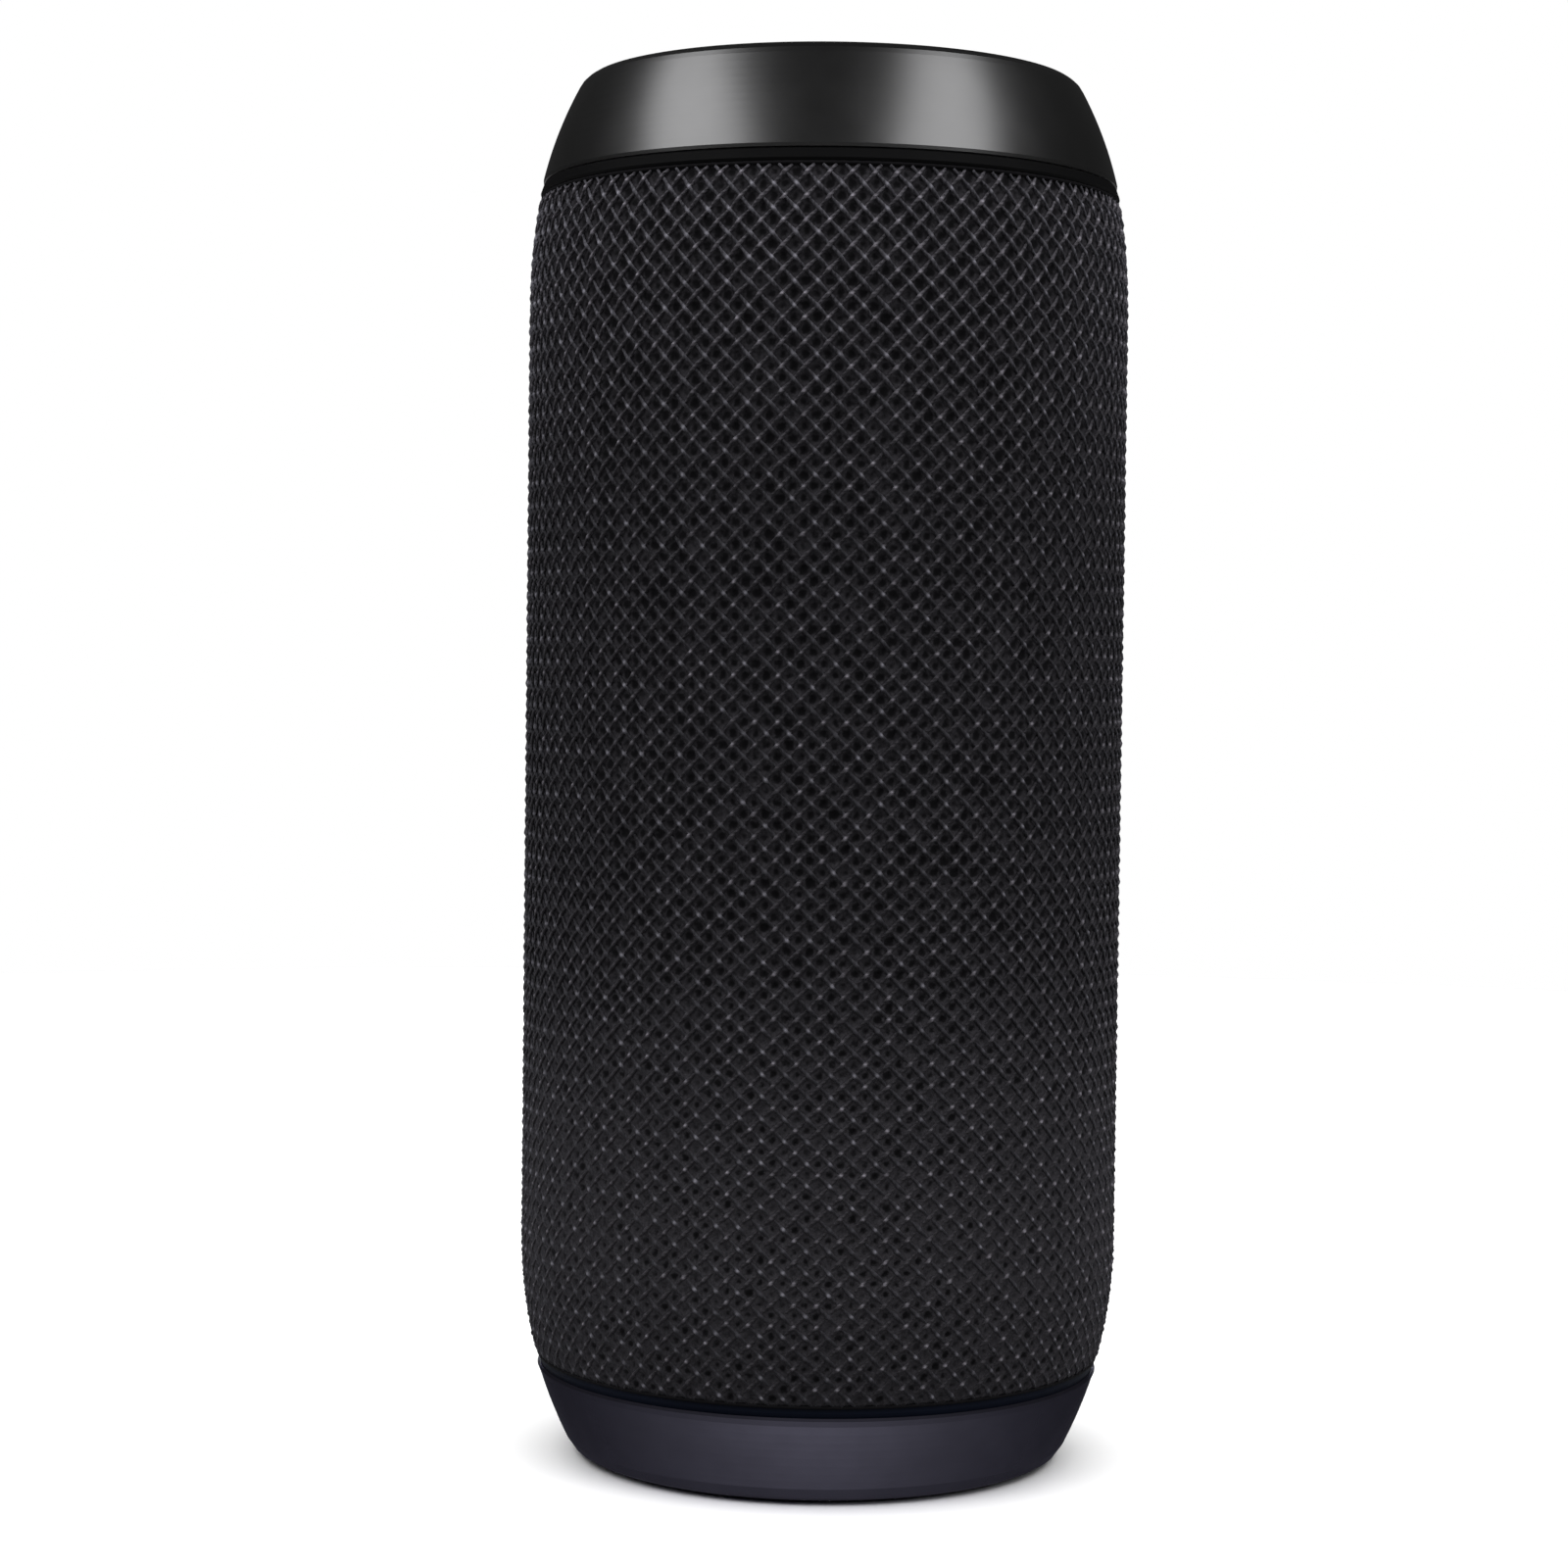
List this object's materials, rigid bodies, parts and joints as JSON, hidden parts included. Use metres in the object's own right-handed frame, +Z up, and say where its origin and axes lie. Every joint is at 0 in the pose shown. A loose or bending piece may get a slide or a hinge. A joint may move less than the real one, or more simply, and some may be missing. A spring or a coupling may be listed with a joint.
{
  "type": "portable speaker",
  "caption": "Upright cylindrical portable speaker with a woven fabric sleeve, a glossy top ring, a satin base ring and a rear port cover; drivers, cell and boards inside.",
  "frame": {"origin": "centre of the round face that it stands on", "axes": "+Z up along the barrel, -Y out of the front, which faces away from the port cover"},
  "size_m": [0.074, 0.074, 0.169],
  "materials": {
    "rubber_black": "matt rubber",
    "base_satin": "satin dark grey with a faint violet cast",
    "ring_gloss": "polished black",
    "band_matte": "matt black",
    "woven_fabric": "woven mesh, grey threads over black",
    "tube_plastic": "moulded black",
    "screw_steel": "zinc plated",
    "panel_plastic": "fine moulded texture",
    "button_plastic": "soft touch",
    "board_green": "solder mask",
    "chip_black": "moulded",
    "plated_metal": "nickel plated",
    "lens_clear": "frosted light pipe",
    "ferrite": "pressed ferrite",
    "spider_cloth": "resin-dipped cloth",
    "cone_black": "pressed cone",
    "copper_coil": "enamelled wire",
    "cell_wrap": "shrink wrap",
    "cable_black": "insulation",
    "wire_red": "insulation"
  },
  "bodies": {
    "housing": {"foot_pad": "rubber_black", "base_ring": "base_satin", "base_seam_band": "rubber_black", "woven_sleeve": "woven_fabric", "grille_tube": "tube_plastic", "chassis_front": "tube_plastic", "chassis_rear": "tube_plastic", "chassis_gasket": "rubber_black", "long_case_screws": "screw_steel", "short_screws": "screw_steel", "top_ring": "ring_gloss", "top_seam_band": "band_matte", "control_panel": "panel_plastic", "control_board": "board_green", "tact_switches": "chip_black", "indicator_lens": "lens_clear", "microphone_capsule": "plated_metal", "front_driver_basket": "tube_plastic", "front_driver_top_plate": "screw_steel", "front_driver_magnet": "ferrite", "front_driver_yoke": "screw_steel", "front_driver_spider": "spider_cloth", "front_driver_surround": "rubber_black", "rear_driver_basket": "tube_plastic", "rear_driver_top_plate": "screw_steel", "rear_driver_magnet": "ferrite", "rear_driver_yoke": "screw_steel", "rear_driver_spider": "spider_cloth", "rear_driver_surround": "rubber_black", "driver_screws": "screw_steel", "radiator_frame": "tube_plastic", "radiator_surround": "rubber_black", "battery_cell": "cell_wrap", "battery_cradle": "tube_plastic", "main_board": "board_green", "board_components": "chip_black", "usb_socket": "plated_metal", "audio_socket": "chip_black", "port_bezel": "band_matte", "port_cover_strap": "rubber_black", "control_cable": "cable_black", "driver_leads": "wire_red", "battery_lead": "wire_red"},
    "front_cone_assembly": {"front_cone": "cone_black", "front_voice_coil": "copper_coil", "front_dust_cap": "cone_black"},
    "rear_cone_assembly": {"rear_cone": "cone_black", "rear_voice_coil": "copper_coil", "rear_dust_cap": "cone_black"},
    "radiator_diaphragm": {"radiator_piston": "cone_black", "radiator_weight": "screw_steel"},
    "port_flap": {"port_cover": "rubber_black"},
    "play_key": {"play_button": "button_plastic"},
    "volume_up_key": {"volume_up_button": "button_plastic"},
    "volume_down_key": {"volume_down_button": "button_plastic"},
    "power_key": {"power_button": "button_plastic"},
    "mode_key": {"mode_button": "button_plastic"}
  },
  "joints": [
    {"name": "play_press", "type": "slide", "parent": "housing", "child": "play_key", "axis": [0, 0, -1], "range_m": [0, 0.0005], "stiffness_N_per_m": 150, "springref_m": -0.001},
    {"name": "volume_up_press", "type": "slide", "parent": "housing", "child": "volume_up_key", "axis": [0, 0, -1], "range_m": [0, 0.0005], "stiffness_N_per_m": 150, "springref_m": -0.001},
    {"name": "volume_down_press", "type": "slide", "parent": "housing", "child": "volume_down_key", "axis": [0, 0, -1], "range_m": [0, 0.0005], "stiffness_N_per_m": 150, "springref_m": -0.001},
    {"name": "power_press", "type": "slide", "parent": "housing", "child": "power_key", "axis": [0, 0, -1], "range_m": [0, 0.0005], "stiffness_N_per_m": 150, "springref_m": -0.001},
    {"name": "mode_press", "type": "slide", "parent": "housing", "child": "mode_key", "axis": [0, 0, -1], "range_m": [0, 0.0005], "stiffness_N_per_m": 150, "springref_m": -0.001},
    {"name": "front_cone_travel", "type": "slide", "parent": "housing", "child": "front_cone_assembly", "axis": [0, -1, 0], "range_m": [-0.002, 0.002], "stiffness_N_per_m": 500, "deforming": ["front_driver_surround", "front_driver_spider"]},
    {"name": "rear_cone_travel", "type": "slide", "parent": "housing", "child": "rear_cone_assembly", "axis": [0, 1, 0], "range_m": [-0.002, 0.002], "stiffness_N_per_m": 500, "deforming": ["rear_driver_surround", "rear_driver_spider"]},
    {"name": "radiator_travel", "type": "slide", "parent": "housing", "child": "radiator_diaphragm", "axis": [0, -1, 0], "range_m": [-0.002, 0.002], "stiffness_N_per_m": 600, "deforming": ["radiator_surround"]},
    {"name": "port_cover_hinge", "type": "hinge", "parent": "housing", "child": "port_flap", "pos_m": [0, 0.03725, 0.0272], "axis": [-1, 0, 0], "range_deg": [0, 160], "stiffness_Nm_per_rad": 0.002, "deforming": ["port_cover_strap"]}
  ]
}
